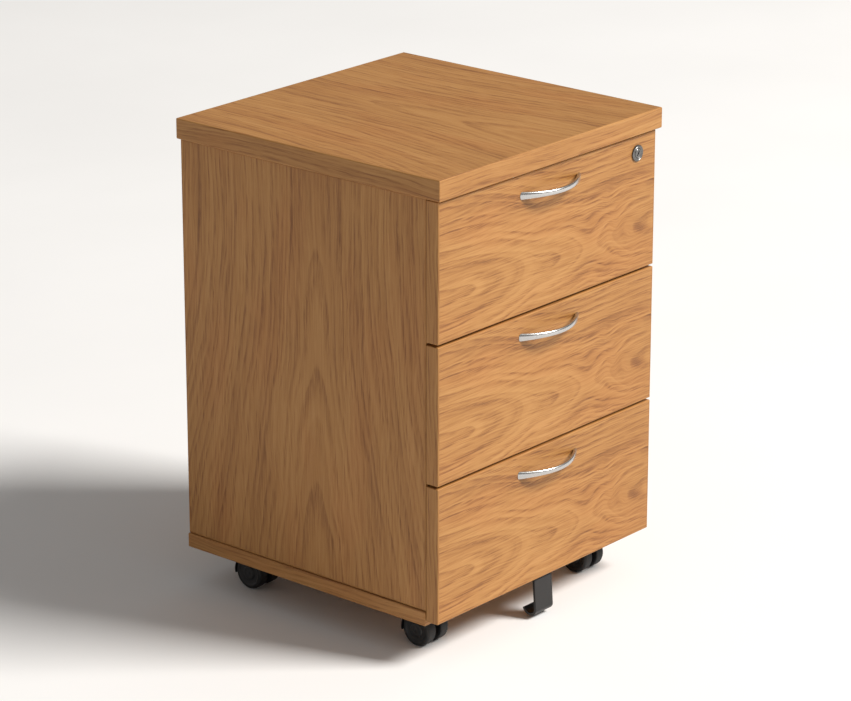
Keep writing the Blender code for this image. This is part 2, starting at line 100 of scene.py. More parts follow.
class Nodes:
    """A new material's nodes. Values passed in are numbers, colours or other nodes' sockets."""

    def __init__(self, name, roughness=0.5, metallic=0.0):
        self.material = bpy.data.materials.new(name)
        self.material.use_nodes = True
        self.tree = self.material.node_tree
        self.shader = self.tree.nodes["Principled BSDF"]
        self.shader.inputs["Roughness"].default_value = roughness
        self.shader.inputs["Metallic"].default_value = metallic

    def add(self, kind, **settings):
        node = self.tree.nodes.new(kind)
        for key, value in settings.items():
            setattr(node, key, value)
        return node

    def put(self, socket, value):
        if isinstance(value, bpy.types.NodeSocket):
            self.tree.links.new(value, socket)
        else:
            socket.default_value = value

    def set(self, **inputs):
        for name, value in inputs.items():
            self.put(self.shader.inputs[name.replace("_", " ")], value)

    def math(self, operation, *values, clamp=False):
        node = self.add("ShaderNodeMath", operation=operation, use_clamp=clamp)
        for socket, value in zip(node.inputs, values):
            self.put(socket, value)
        return node.outputs[0]

    def times(self, a, b):
        return self.math("MULTIPLY", a, b)

    def plus(self, *values):
        total = values[0]
        for value in values[1:]:
            total = self.math("ADD", total, value)
        return total

    def swing(self, value, size):
        """A noise value about 0.5 turned into one about 0, size across."""
        return self.times(self.math("SUBTRACT", value, 0.5), size)

    def join(self, x, y, z=0.0):
        node = self.add("ShaderNodeCombineXYZ")
        for socket, value in zip(node.inputs, (x, y, z)):
            self.put(socket, value)
        return node.outputs[0]

    def noise(self, vector, detail=2.0):
        node = self.add("ShaderNodeTexNoise")
        self.put(node.inputs["Vector"], vector)
        node.inputs["Scale"].default_value = 1.0
        node.inputs["Detail"].default_value = detail
        return node.outputs["Fac"]

    def fade(self, value, start, end, low=0.0, high=1.0):
        node = self.add("ShaderNodeMapRange", interpolation_type="SMOOTHSTEP")
        for socket, number in zip(node.inputs, (value, start, end, low, high)):
            self.put(socket, number)
        return node.outputs[0]

    def ramp(self, value, *stops):
        node = self.add("ShaderNodeValToRGB")
        elements = node.color_ramp.elements
        while len(elements) < len(stops):
            elements.new(0.5)
        for element, (place, color) in zip(elements, stops):
            element.position = place
            element.color = color
        self.put(node.inputs["Fac"], value)
        return node.outputs["Color"]

    def mix(self, factor, a, b, blend_type="MIX"):
        node = self.add("ShaderNodeMix", data_type="RGBA", blend_type=blend_type)
        for index, value in ((MIX_FACTOR, factor), (MIX_A, a), (MIX_B, b)):
            self.put(node.inputs[index], value)
        return node.outputs[MIX_RESULT]

    def bump(self, height, distance, strength=1.0):
        node = self.add("ShaderNodeBump")
        node.inputs["Strength"].default_value = strength
        node.inputs["Distance"].default_value = distance
        self.put(node.inputs["Height"], height)
        self.set(Normal=node.outputs["Normal"])

    def object_axes(self):
        """Three sockets: the piece's own X, Y and Z in metres."""
        node = self.add("ShaderNodeSeparateXYZ")
        coordinates = self.add("ShaderNodeTexCoord")
        self.put(node.inputs[0], coordinates.outputs["Object"])
        return node.outputs[:]

    def grain_axes(self):
        """Two sockets from the grain map: metres along the grain and across it."""
        node = self.add("ShaderNodeSeparateXYZ")
        self.put(node.inputs[0], self.add("ShaderNodeUVMap", uv_map="grain").outputs[0])
        return node.outputs[0], node.outputs[1]


def oak(name, spacing, figure=None, contrast=1.0):
    """Printed oak melamine: growth rings broken into dashes, long fibres, short pores and slow clouds.

    figure is the arched heart grain: the rings are levels of the distance from an axis line that dives
    below the surface, stirred up round a knot. Without one, the rings are straight.
    """
    n = Nodes(name)
    along, across = n.grain_axes()
    drift = n.noise(n.join(n.times(along, 4.2), n.times(across, 13)), 2)
    wander = n.noise(n.join(n.times(along, 17), n.times(across, 95), 3.0), 2)
    fray = n.noise(n.join(n.times(along, 60), n.times(across, 420), 4.0), 2)
    line = n.plus(across, n.swing(drift, 0.024), n.swing(wander, 0.0024), n.swing(fray, 0.0010))
    distance = line
    if figure is not None:
        knot_along, knot_across, knot_size = figure["knot"]
        side_on = n.times(n.math("SUBTRACT", along, knot_along), 1 / knot_size)
        end_on = n.times(n.math("SUBTRACT", across, knot_across), 1 / knot_size)
        squares = n.plus(n.times(side_on, side_on), n.times(end_on, end_on))
        near = n.math("EXPONENT", n.times(squares, -1.0))
        stir = n.swing(n.noise(n.join(n.times(along, 24), n.times(across, 30), 12.0), 1), figure["stir"])
        line = n.plus(line, n.times(near, stir))
        rise_start, peak, fall_end = figure["dive"]
        fan = n.fade(along, rise_start, peak, figure["fan"], 1.0)
        offset = n.times(n.math("SUBTRACT", line, figure["axis"]), fan)
        hill = n.times(n.fade(along, rise_start, peak), n.fade(along, fall_end, peak, figure["fall"], 1.0))
        roll = n.swing(n.noise(n.join(n.times(along, figure["roll_rate"]), 0.0, 21.0), 1), figure["roll"])
        depth = n.plus(figure["base"], n.times(hill, figure["height"]), roll)
        distance = n.math("SQRT", n.plus(n.times(offset, offset), n.times(depth, depth)))
    uneven = n.noise(n.join(n.times(distance, 75), n.times(along, 1.5), 7.0), 2)
    turns = n.plus(n.times(distance, 1 / spacing), n.swing(uneven, 2.4))
    saw = n.math("FRACT", n.plus(turns, 20.0))
    late = n.times(n.fade(saw, 0.05, 0.80), n.fade(saw, 1.0, 0.86))
    patches = n.noise(n.join(n.times(along, 9), n.times(distance, 170), 5.0), 2)
    presence = n.fade(patches, 0.36, 0.64, 0.35, 1.0)
    dashes = n.noise(n.join(n.times(along, 34), n.times(line, 640), 6.0), 3)
    broken = n.fade(dashes, 0.64, 0.40, 0.35, 1.0)
    rings = n.times(n.times(late, presence), broken)
    fibres = n.noise(n.join(n.times(along, 8), n.times(line, 430), 1.0), 4)
    threads = n.noise(n.join(n.times(along, 26), n.times(line, 1500), 2.0), 2)
    pits = n.noise(n.join(n.times(along, 85), n.times(line, 2600), 5.0), 1)
    pores = n.times(n.fade(pits, 0.60, 0.72), n.fade(rings, 0.0, 0.7, 0.35, 1.0))
    clouds = n.noise(n.join(n.times(along, 3.2), n.times(distance, 62), 9.0), 2)
    tone = n.plus(
        0.73,
        n.swing(clouds, 0.95 * contrast),
        n.swing(fibres, 0.95 * contrast),
        n.swing(dashes, 0.50 * contrast),
        n.swing(threads, 0.40 * contrast),
        n.times(rings, -0.46 * contrast),
        n.times(pores, -0.30 * contrast),
    )
    stops = ((0.0, OAK_DARK), (0.34, OAK_BROWN), (0.62, OAK_MIDDLE), (1.0, OAK_LIGHT))
    color = n.ramp(tone, *stops)
    blush = n.fade(n.noise(n.join(n.times(along, 5.0), n.times(across, 17), 31.0), 2), 0.45, 0.70, 0.0, 0.55)
    color = n.mix(blush, color, (1.0, 0.90, 0.86, 1), "MULTIPLY")
    n.set(Base_Color=color, Roughness=n.fade(fibres, 0.3, 0.7, 0.50, 0.42), Specular_IOR_Level=0.36)
    n.bump(n.plus(n.times(threads, 0.5), n.times(pores, -1.0)), 0.06 * MM, 0.6)
    return n.material


def satin_chrome():
    n = Nodes("satin_chrome", metallic=1.0)
    x, y, z = n.object_axes()
    brushed = n.noise(n.join(n.times(x, 90), n.times(y, 2400), n.times(z, 2400)), 2)
    smudges = n.noise(n.join(n.times(x, 60), n.times(y, 60), n.times(z, 60)), 2)
    n.set(Base_Color=n.ramp(brushed, (0.3, (0.48, 0.475, 0.465, 1)), (0.7, (0.60, 0.595, 0.585, 1))))
    n.set(Roughness=n.plus(0.17, n.times(brushed, 0.08), n.times(smudges, 0.06)))
    n.bump(brushed, 0.01 * MM, 0.25)
    return n.material


def nickel():
    n = Nodes("dark_nickel", metallic=1.0)
    x, y, z = n.object_axes()
    grain = n.noise(n.join(n.times(x, 700), n.times(y, 700), n.times(z, 2200)), 2)
    n.set(Base_Color=n.ramp(grain, (0.3, (0.13, 0.127, 0.122, 1)), (0.7, (0.22, 0.215, 0.208, 1))))
    n.set(Roughness=n.plus(0.24, n.times(grain, 0.14)))
    n.bump(grain, 0.02 * MM, 0.5)
    return n.material


def zinc():
    """Bright zinc plate: faint crystals, a slow yellow and blue cast and fine scuffs along the strip."""
    n = Nodes("zinc_plate", metallic=1.0)
    x, y, z = n.object_axes()
    place = n.join(x, y, z)
    crystals = n.add("ShaderNodeTexVoronoi")
    crystals.inputs["Scale"].default_value = 260
    n.put(crystals.inputs["Vector"], place)
    shade = n.math("FRACT", n.times(crystals.outputs["Distance"], 1.7))
    scuffs = n.noise(n.join(n.times(x, 1800), n.times(y, 45), n.times(z, 1800)), 3)
    cast = n.noise(n.join(n.times(x, 22), n.times(y, 22), n.times(z, 22)), 2)
    base = n.ramp(n.plus(n.times(shade, 0.35), n.times(scuffs, 0.7)),
                  (0.2, (0.47, 0.48, 0.50, 1)), (0.8, (0.67, 0.68, 0.70, 1)))
    tint = n.ramp(cast, (0.35, (1.0, 0.97, 0.90, 1)), (0.65, (0.93, 0.97, 1.0, 1)))
    n.set(Base_Color=n.mix(1.0, base, tint, "MULTIPLY"))
    n.set(Roughness=n.plus(0.24, n.times(scuffs, 0.22)))
    n.bump(scuffs, 0.02 * MM, 0.5)
    return n.material


def powder_coat(name, dark, light, roughness, pebble):
    """Baked paint: an orange-peel skin with a slight change of tone."""
    n = Nodes(name)
    x, y, z = n.object_axes()
    place = n.join(x, y, z)
    skin = n.noise(n.join(n.times(x, pebble), n.times(y, pebble), n.times(z, pebble)), 2)
    slow = n.noise(n.join(n.times(x, 14), n.times(y, 14), n.times(z, 14)), 2)
    specks = n.add("ShaderNodeTexVoronoi")
    specks.inputs["Scale"].default_value = pebble * 1.6
    n.put(specks.inputs["Vector"], place)
    n.set(Base_Color=n.ramp(n.plus(n.times(skin, 0.6), n.times(slow, 0.4)), (0.3, dark), (0.7, light)))
    n.set(Roughness=n.plus(roughness, n.swing(skin, 0.16)))
    n.bump(n.plus(skin, n.times(specks.outputs["Distance"], 0.3)), 0.08 * MM, 0.7)
    return n.material


def moulded_plastic():
    """Spark-textured black nylon, a little polished by handling."""
    n = Nodes("black_nylon")
    x, y, z = n.object_axes()
    spark = n.noise(n.join(n.times(x, 2600), n.times(y, 2600), n.times(z, 2600)), 2)
    wear = n.noise(n.join(n.times(x, 90), n.times(y, 90), n.times(z, 90)), 3)
    n.set(Base_Color=n.ramp(wear, (0.35, BLACK), (0.75, (0.013, 0.013, 0.014, 1))))
    n.set(Roughness=n.plus(0.30, n.times(wear, 0.16), n.times(spark, 0.10)), Specular_IOR_Level=0.5)
    n.bump(spark, 0.05 * MM, 0.6)
    return n.material


def tread():
    """The wheels' running surface: dull black, greyed by dust where it rolls."""
    n = Nodes("wheel_tread")
    x, y, z = n.object_axes()
    dust = n.noise(n.join(n.times(x, 260), n.times(y, 150), n.times(z, 150)), 4)
    pebbles = n.noise(n.join(n.times(x, 1900), n.times(y, 1900), n.times(z, 1900)), 2)
    n.set(Base_Color=n.ramp(dust, (0.38, BLACK), (0.74, (0.020, 0.0195, 0.0185, 1))))
    n.set(Roughness=n.plus(0.46, n.times(dust, 0.22)), Specular_IOR_Level=0.4)
    n.bump(n.plus(pebbles, dust), 0.05 * MM, 0.6)
    return n.material


FRONT_FIGURE = {"axis": 0.053, "dive": (0.0, 0.270, 0.400), "base": 0.002, "height": 0.036, "fall": 0.45,
                "fan": 0.70, "roll": 0.012, "roll_rate": 16, "knot": (0.318, 0.066, 0.042), "stir": 0.036}
BOARD_FIGURE = {"axis": 0.165, "dive": (-0.10, 0.42, 0.85), "base": 0.008, "height": 0.034, "fall": 0.2,
                "fan": 0.60, "roll": 0.022, "roll_rate": 5, "knot": (0.10, 0.165, 0.16), "stir": 0.005}

OAK_FRONT = oak("oak_front", 8.0 * MM, FRONT_FIGURE)
OAK_BOARD = oak("oak_board", 7.0 * MM, BOARD_FIGURE, 0.75)
OAK_EDGE = oak("oak_edging", 6.0 * MM, None, 0.75)
CHROME, NICKEL, ZINC = satin_chrome(), nickel(), zinc()
TRAY_PAINT = powder_coat("tray_paint", (0.50, 0.51, 0.52, 1), (0.60, 0.61, 0.62, 1), 0.46, 900)
BLACK_PAINT = powder_coat("black_paint", (0.005, 0.005, 0.005, 1), (0.011, 0.011, 0.012, 1), 0.40, 1300)
NYLON, TREAD = moulded_plastic(), tread()


# ---- mesh helpers -------------------------------------------------------------------------------------


def finished(name, bm, materials, smooth_angle=32):
    """The bmesh as a mesh, its normals outwards, shaded smooth below the angle in degrees."""
    bmesh.ops.recalc_face_normals(bm, faces=bm.faces)
    mesh = bpy.data.meshes.new(name)
    bm.to_mesh(mesh)
    bm.free()
    for item in materials:
        mesh.materials.append(item)
    mesh.shade_smooth()
    mesh.set_sharp_from_angle(angle=math.radians(smooth_angle))
    return mesh


def piece(name, mesh, body, slot, *replaced):
    """An object for the mesh that rides on a body and stands for the CAD nodes it replaces."""
    made = bpy.data.objects.new(name, mesh)
    bpy.context.scene.collection.objects.link(made)
    weighted = made.modifiers.new("weighted_normals", "WEIGHTED_NORMAL")
    weighted.keep_sharp = True
    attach(made, body)
    if replaced:
        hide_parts(*replaced)
    return made


def middle(node):
    low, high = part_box(node)
    return (low + high) / 2


def arc(centre, radius, start, end, count):
    """Points on an arc, from start to end in degrees."""
    turns = [math.radians(start + (end - start) * i / (count - 1)) for i in range(count)]
    return [(centre[0] + radius * math.cos(t), centre[1] + radius * math.sin(t)) for t in turns]


def rounded_rectangle(low, high, inset, radius, steps=4):
    """Points round a rectangle in a plane, anticlockwise, moved in by inset."""
    corner = max(radius - inset, 0.05 * MM)
    left, bottom = low[0] + inset + corner, low[1] + inset + corner
    right, top = high[0] - inset - corner, high[1] - inset - corner
    points = []
    corners = (((right, bottom), -90), ((right, top), 0), ((left, top), 90), ((left, bottom), 180))
    for centre, start in corners:
        points += arc(centre, corner, start, start + 90, steps + 1)
    return points


def loft(bm, rings, capped=True, closed=False):
    """Faces between rings of points that all have the same count. Returns the rows of faces and the caps."""
    made = [[bm.verts.new(point) for point in ring] for ring in rings]
    pairs = list(zip(made, made[1:])) + ([(made[-1], made[0])] if closed else [])
    rows = []
    for first, second in pairs:
        count = len(first)
        row = []
        for i in range(count):
            j = (i + 1) % count
            row.append(bm.faces.new((first[i], first[j], second[j], second[i])))
        rows.append(row)
    caps = [bm.faces.new(made[0]), bm.faces.new(made[-1])] if capped and not closed else []
    return rows, caps


def turned(bm, profile, centre, axis, steps=40, closed=False):
    """A profile of (radius, place along the axis) turned round X, Y or Z. Radius 0 at an end closes it."""

    def at(radius, along, angle):
        a, b = radius * math.cos(angle), radius * math.sin(angle)
        offset = {"X": (along, a, b), "Y": (a, along, b), "Z": (a, b, along)}[axis]
        return Vector(centre) + Vector(offset)

    rings = []
    for radius, along in profile:
        count = steps if radius > 0 else 1
        rings.append([bm.verts.new(at(radius, along, 2 * math.pi * i / steps)) for i in range(count)])
    pairs = list(zip(rings, rings[1:])) + ([(rings[-1], rings[0])] if closed else [])
    for first, second in pairs:
        for i in range(steps):
            j = (i + 1) % steps
            corners = [first[i % len(first)], first[j % len(first)]]
            corners += [second[j % len(second)], second[i % len(second)]]
            bm.faces.new(list(dict.fromkeys(corners)))


def ribbon(line, thickness):
    """The closed outline of a bent strip whose middle follows the line of points."""
    left, right = [], []
    for i, point in enumerate(line):
        before, after = line[max(i - 1, 0)], line[min(i + 1, len(line) - 1)]
        along = (Vector(after) - Vector(before)).normalized()
        across = Vector((-along.y, along.x)) * thickness / 2
        left.append(tuple(Vector(point) + across))
        right.append(tuple(Vector(point) - across))
    return left + right[::-1]


def prism(bm, outline, axis, low, high, soften=0.0):
    """An outline along X or Y, with both ends' rims drawn in by soften. Its points are (y, z) or (x, z)."""

    def at(point, along):
        return (along, point[0], point[1]) if axis == "X" else (point[0], along, point[1])

    def drawn_in():
        area = sum(a[0] * b[1] - b[0] * a[1] for a, b in zip(outline, outline[1:] + outline[:1]))
        result = []
        for i, point in enumerate(outline):
            along = (Vector(outline[(i + 1) % len(outline)]) - Vector(outline[i - 1])).normalized()
            inward = Vector((-along.y, along.x)) * math.copysign(soften, area)
            result.append(tuple(Vector(point) + inward))
        return result

    rings = [(outline, low), (outline, high)]
    if soften:
        small = drawn_in()
        rings = [(small, low), (outline, low + soften), (outline, high - soften), (small, high)]
    loft(bm, [[at(point, along) for point in ring] for ring, along in rings])


def screw_head(bm, place, direction, radius, height, recess=True):
    """A pan head with a cross recess. It stands on place and points along direction."""
    turn = Vector((0, 0, 1)).rotation_difference(Vector(direction)).to_matrix()
    steps, rings = 20, 6
    slot, reach = 0.16 * radius, 0.62 * radius

    def point(r, i):
        angle = 2 * math.pi * i / steps
        x, y = r * math.cos(angle), r * math.sin(angle)
        dome = height * math.sqrt(max(0.0, 1 - 0.75 * (r / radius) ** 2.4))
        cut = recess and r < reach and min(abs(x), abs(y)) < slot
        return Vector(place) + turn @ Vector((x, y, dome - 0.55 * height if cut else dome))

    tip = bm.verts.new(point(0, 0))
    loops = [[bm.verts.new(point(radius * k / rings, i)) for i in range(steps)] for k in range(1, rings + 1)]
    foot = [bm.verts.new(Vector(place) + turn @ Vector((
        radius * math.cos(2 * math.pi * i / steps), radius * math.sin(2 * math.pi * i / steps), 0)))
        for i in range(steps)]
    for i in range(steps):
        j = (i + 1) % steps
        bm.faces.new((tip, loops[0][i], loops[0][j]))
        for inner, outer in zip(loops, loops[1:] + [foot]):
            bm.faces.new((inner[i], outer[i], outer[j], inner[j]))
    bm.faces.new(foot)


def ball(bm, centre, radius):
    bmesh.ops.create_icosphere(bm, subdivisions=2, radius=radius, matrix=Matrix.Translation(centre))


def combine(made, *steps):
    """Joins meshes to an object or cuts them from it for good, keeping its materials and its grain map.

    Each step is an operation, UNION or DIFFERENCE, and a mesh.
    """
    kept = list(made.modifiers)
    for item in kept:
        item.show_viewport = False
    tools = []
    for operation, mesh in steps:
        tool = bpy.data.objects.new("tool", mesh)
        bpy.context.scene.collection.objects.link(tool)
        tools.append(tool)
        step = made.modifiers.new("step", "BOOLEAN")
        step.operation = operation
        step.solver = "EXACT"
        step.object = tool
    graph = bpy.context.evaluated_depsgraph_get()
    graph.update()
    result = bpy.data.meshes.new_from_object(made.evaluated_get(graph))
    result.name = made.data.name
    for item in list(made.modifiers):
        if item not in kept:
            made.modifiers.remove(item)
    for item in kept:
        item.show_viewport = True
    for tool in tools:
        bpy.data.objects.remove(tool, do_unlink=True)
    made.data = result
    result.shade_smooth()
    result.set_sharp_from_angle(angle=math.radians(32))


def rod_mesh(name, centre, axis, radius, low, high, steps=40):
    bm = bmesh.new()
    turned(bm, [(0, low), (radius, low), (radius, high), (0, high)], centre, axis, steps)
    return finished(name, bm, [])


# ---- boards -------------------------------------------------------------------------------------------


def board(name, node, body, thin, grain, face, shift=(0.0, 0.0)):
    """A melamine board: two printed faces, edging all round with soft arrises, and a hairline between.

    thin is the axis across its thickness and grain the axis its faces' grain runs along. shift moves
    the print, in metres along and across the grain.
    """
    low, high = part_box(node)
    a, b = [axis for axis in range(3) if axis != thin]
    thickness = high[thin] - low[thin]
    profile = [(EDGING + GLUE_LINE / 2, 0.0), (EDGING, 0.12 * MM), (EDGING - GLUE_LINE / 2, 0.0)]
    profile += [(ARRIS + x, ARRIS + y) for x, y in arc((0, 0), ARRIS, 270, 180, 6)]
    profile += [(inset, thickness - depth) for inset, depth in reversed(profile)]
    reach = [0.0]
    for before, after in zip(profile, profile[1:]):
        reach.append(reach[-1] + math.dist(before, after))

    bm = bmesh.new()
    grain_map = bm.loops.layers.uv.new("grain")
    rings = []
    for inset, depth in profile:
        ring = []
        for point in rounded_rectangle((low[a], low[b]), (high[a], high[b]), inset, 1.0 * MM, 3):
            corner = Vector((0, 0, 0))
            corner[a], corner[b], corner[thin] = point[0], point[1], low[thin] + depth
            ring.append(corner)
        rings.append(ring)
    rows, caps = loft(bm, rings)
    for k, row in enumerate(rows):
        for face_made in row:
            face_made.material_index = 1
            corners = [loop.vert.co for loop in face_made.loops]
            step = corners[1] - corners[0]
            run = a if abs(step[a]) >= abs(step[b]) else b
            other = b if run == a else a
            bank = 0.31 * (run + 1) + (0.17 if face_made.calc_center_median()[other] > 0 else 0.0)
            for loop, level in zip(face_made.loops, (reach[k], reach[k], reach[k + 1], reach[k + 1])):
                loop[grain_map].uv = (loop.vert.co[run] - low[run] + shift[0], level + bank + shift[1])
    across = a if grain == b else b
    for cap in caps:
        for loop in cap.loops:
            along_place = loop.vert.co[grain] - low[grain] + shift[0]
            loop[grain_map].uv = (along_place, loop.vert.co[across] - low[across] + shift[1])
    mesh = finished(name, bm, [face, OAK_EDGE])
    return piece(name, mesh, body, "oak_melamine", node)


def build_boards():
    board("top_board", "top_panel", "cabinet", 2, 1, OAK_BOARD, (0.12, -0.04))
    board("base_board", "base_panel", "cabinet", 2, 1, OAK_BOARD, (0.9, 0.5))
    board("left_side_board", "left_side_panel", "cabinet", 0, 2, OAK_BOARD)
    board("right_side_board", "right_side_panel", "cabinet", 0, 2, OAK_BOARD, (0.06, -0.01))
    board("back_board", "back_panel", "cabinet", 1, 2, OAK_BOARD, (0.2, 0.0))
    fronts = {}
    for drawer in DRAWERS:
        node = f"{drawer}_drawer_front"
        fronts[drawer] = board(f"{drawer}_front_board", node, f"{drawer}_drawer", 1, 0, OAK_FRONT)
    lock = middle("lock_housing")
    hole = rod_mesh("lock_hole", (lock.x, 0, lock.z), "Y", LOCK_HOLE, -0.3, 0.0)
    combine(fronts["upper"], ("DIFFERENCE", hole))


# ---- handles and lock ---------------------------------------------------------------------------------


def build_handle(drawer):
    """A bow of flattened bar that widens to a flat foot at each end."""
    node = f"{drawer}_drawer_handle"
    low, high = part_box(node)
    centre_x, centre_z = (low.x + high.x) / 2, (low.z + high.z) / 2
    half, reach = (high.x - low.x) / 2, high.y - low.y
    inner_half, inner_reach = half - HANDLE_PAD, reach - HANDLE_BAR
    stations, sides, squareness = 72, 28, 0.82
    rings = []
    for i in range(stations + 1):
        s = -math.cos(math.pi * i / stations)
        outer = Vector((s * half, -reach * (1 - s * s)))
        inner = Vector((s * inner_half, -inner_reach * (1 - s * s)))
        centre, radial = (outer + inner) / 2, (outer - inner) / 2
        height = HANDLE_MIDDLE_HEIGHT + (HANDLE_END_HEIGHT - HANDLE_MIDDLE_HEIGHT) * abs(s) ** 2.5
        ring = []
        for k in range(sides):
            turn = 2 * math.pi * k / sides
            c, s_turn = math.cos(turn), math.sin(turn)
            point = centre + radial * math.copysign(abs(c) ** squareness, c)
            lift = height / 2 * math.copysign(abs(s_turn) ** squareness, s_turn)
            ring.append((centre_x + point.x, high.y + point.y, centre_z + lift))
        rings.append(ring)
    bm = bmesh.new()
    loft(bm, rings)
    mesh = finished("bow_handle", bm, [CHROME], 50)
    piece(f"{drawer}_bow_handle", mesh, f"{drawer}_drawer", "satin_chrome", node)

    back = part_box(f"{drawer}_drawer_front")[1].y
    bm = bmesh.new()
    for side in (-1, 1):
        foot = centre_x + side * (half - HANDLE_PAD / 2)
        turned(bm, [(0, 0.3 * MM), (4.5 * MM, 0.3 * MM), (4.5 * MM, 0.9 * MM), (0, 0.9 * MM)],
               (foot, back, centre_z), "Y", 24)
        screw_head(bm, (foot, back + 0.9 * MM, centre_z), (0, 1, 0), 3.6 * MM, 2.0 * MM)
    mesh = finished("handle_screws", bm, [ZINC])
    piece(f"{drawer}_handle_screws", mesh, f"{drawer}_drawer", "zinc_steel")


def build_lock():
    """The rosette with its barrel, and the turning core with a keyway in front and a cam behind."""
    low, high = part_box("lock_housing")
    x, z = (low.x + high.x) / 2, (low.z + high.z) / 2
    rim, bore = low.y, CORE_RADIUS + 0.3 * MM
    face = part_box("upper_drawer_front")[0].y - 0.05 * MM
    profile = [(bore, rim + 0.5 * MM), (bore + 0.35 * MM, rim + 0.1 * MM), (bore + 0.9 * MM, rim)]
    profile += [(7.7 * MM, rim), (8.0 * MM, rim + 0.25 * MM), (8.3 * MM, rim + 0.25 * MM), (8.6 * MM, rim)]
    profile += [(9.2 * MM, rim + 0.05 * MM), (9.7 * MM, rim + 0.3 * MM), (ROSETTE_RADIUS, rim + 0.8 * MM)]
    profile += [(ROSETTE_RADIUS, face), (BARREL_RADIUS, face), (BARREL_RADIUS, high.y), (bore, high.y)]
    bm = bmesh.new()
    turned(bm, profile, (x, 0, z), "Y", 64, closed=True)
    mesh = finished("lock_rosette", bm, [NICKEL])
    piece("lock_rosette", mesh, "upper_drawer", "satin_chrome", "lock_housing")

    core_low, core_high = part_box("lock_core")
    nose, tail = core_low.y, core_high.y - 2 * MM
    bm = bmesh.new()
    profile = [(0, nose + 0.15 * MM), (3.8 * MM, nose + 0.15 * MM), (4.1 * MM, nose), (5.2 * MM, nose)]
    profile += [(CORE_RADIUS, nose + 0.4 * MM), (CORE_RADIUS, tail), (0, tail)]
    turned(bm, profile, (x, 0, z), "Y", 64)
    cam = arc((x, core_high.z - 3 * MM), 3 * MM, 0, 180, 9)
    cam += arc((x, z), 5.2 * MM, 215, 325, 9)
    prism(bm, cam, "Y", tail, core_high.y, 0.2 * MM)
    core = piece("lock_core_and_cam", finished("lock_core_and_cam", bm, [NICKEL]), "lock_core",
                 "satin_chrome", "lock_core")
    slot = bmesh.new()
    key = [(x - 0.75 * MM, z - 3.3 * MM), (x + 0.75 * MM, z - 3.3 * MM), (x + 0.75 * MM, z - 1.2 * MM)]
    key += [(x + 1.35 * MM, z - 0.8 * MM), (x + 1.35 * MM, z + 0.6 * MM), (x + 0.75 * MM, z + 1.0 * MM)]
    key += [(x + 0.75 * MM, z + 3.3 * MM), (x - 0.75 * MM, z + 3.3 * MM)]
    slant = Matrix.Rotation(math.radians(KEYWAY_SLANT), 2)
    key = [tuple(slant @ (Vector(point) - Vector((x, z))) + Vector((x, z))) for point in key]
    prism(slot, key, "Y", nose - 1 * MM, nose + 5 * MM)
    combine(core, ("DIFFERENCE", finished("keyway", slot, [NICKEL])))


# ---- drawer steel -------------------------------------------------------------------------------------


def build_tray(drawer):
    """A folded steel tray: rounded bends, a flange turned in round its rim, and its front wall's screws."""
    node = f"{drawer}_drawer_tray"
    low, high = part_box(node)
    outer_low, outer_high = (low.x, low.y), (high.x, high.y)
    tall, bend, lip = high.z - low.z, TRAY_BEND, 1.6 * MM
    profile = [(bend + x, bend + y) for x, y in arc((0, 0), bend, 270, 180, 6)]
    profile += [(lip + x, tall - lip + y) for x, y in arc((0, 0), lip, 180, 90, 5)]
    profile += [(TRAY_FLANGE, tall), (TRAY_FLANGE, tall - SHEET)]
    inner = 0.6 * MM
    profile += [(SHEET + inner + x, tall - SHEET - inner + y) for x, y in arc((0, 0), inner, 90, 180, 4)]
    profile += [(bend + x, bend + y) for x, y in arc((0, 0), bend - SHEET, 180, 270, 6)]
    rings = []
    for inset, rise in profile:
        ring = rounded_rectangle(outer_low, outer_high, inset, 3 * MM, 4)
        rings.append([(*point, low.z + rise) for point in ring])
    bm = bmesh.new()
    loft(bm, rings)
    body = f"{drawer}_drawer"
    piece(f"{drawer}_tray_shell", finished("tray_shell", bm, [TRAY_PAINT]), body, "tray_steel", node)

    bm = bmesh.new()
    for x in (-0.125, -0.045, 0.045, 0.125):
        place = (x, low.y + SHEET, low.z + 0.55 * tall)
        screw_head(bm, place, (0, 1, 0), 3.8 * MM, 1.9 * MM)
    piece(f"{drawer}_tray_screws", finished("tray_screws", bm, [ZINC]), body, "zinc_steel")


def channel_outline(web, lip, centre, half, sheet, curl=0.0):
    """A formed C channel in the XZ plane: its web at x = web, its lips reaching to x = lip."""
    inward = math.copysign(1.0, lip - web)
    bend = sheet * 0.9
    middle_x, end_x = web + inward * sheet / 2, lip - inward * sheet * 0.2
    top = half - sheet / 2
    line = [(end_x, -top + curl), (end_x - inward * 1.2 * MM, -top)]
    line += [(middle_x + inward * (bend + x), -top + bend + y) for x, y in arc((0, 0), bend, 270, 180, 5)]
    line += [(middle_x + inward * (bend + x), top - bend + y) for x, y in arc((0, 0), bend, 180, 90, 5)]
    line += [(end_x - inward * 1.2 * MM, top), (end_x, top - curl)]
    return [(x, centre + z) for x, z in ribbon(line, sheet)]


def build_runner(node, body, outward, screws, curl):
    """One member of a ball runner, with its countersunk screws on the web."""
    low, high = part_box(node)
    web, lip = (low.x, high.x) if outward else (high.x, low.x)
    if middle(node).x < 0:
        web, lip = lip, web
    centre, half = (low.z + high.z) / 2, (high.z - low.z) / 2
    bm = bmesh.new()
    prism(bm, channel_outline(web, lip, centre, half, SHEET, curl), "Y", low.y, high.y)
    facing = math.copysign(1.0, lip - web)
    for share in screws:
        place = (web + facing * SHEET, low.y + share * (high.y - low.y), centre)
        screw_head(bm, place, (facing, 0, 0), 3.2 * MM, 0.55 * MM)
    piece(node.replace("runner", "slide"), finished("runner", bm, [ZINC], 40), body, "zinc_steel", node)


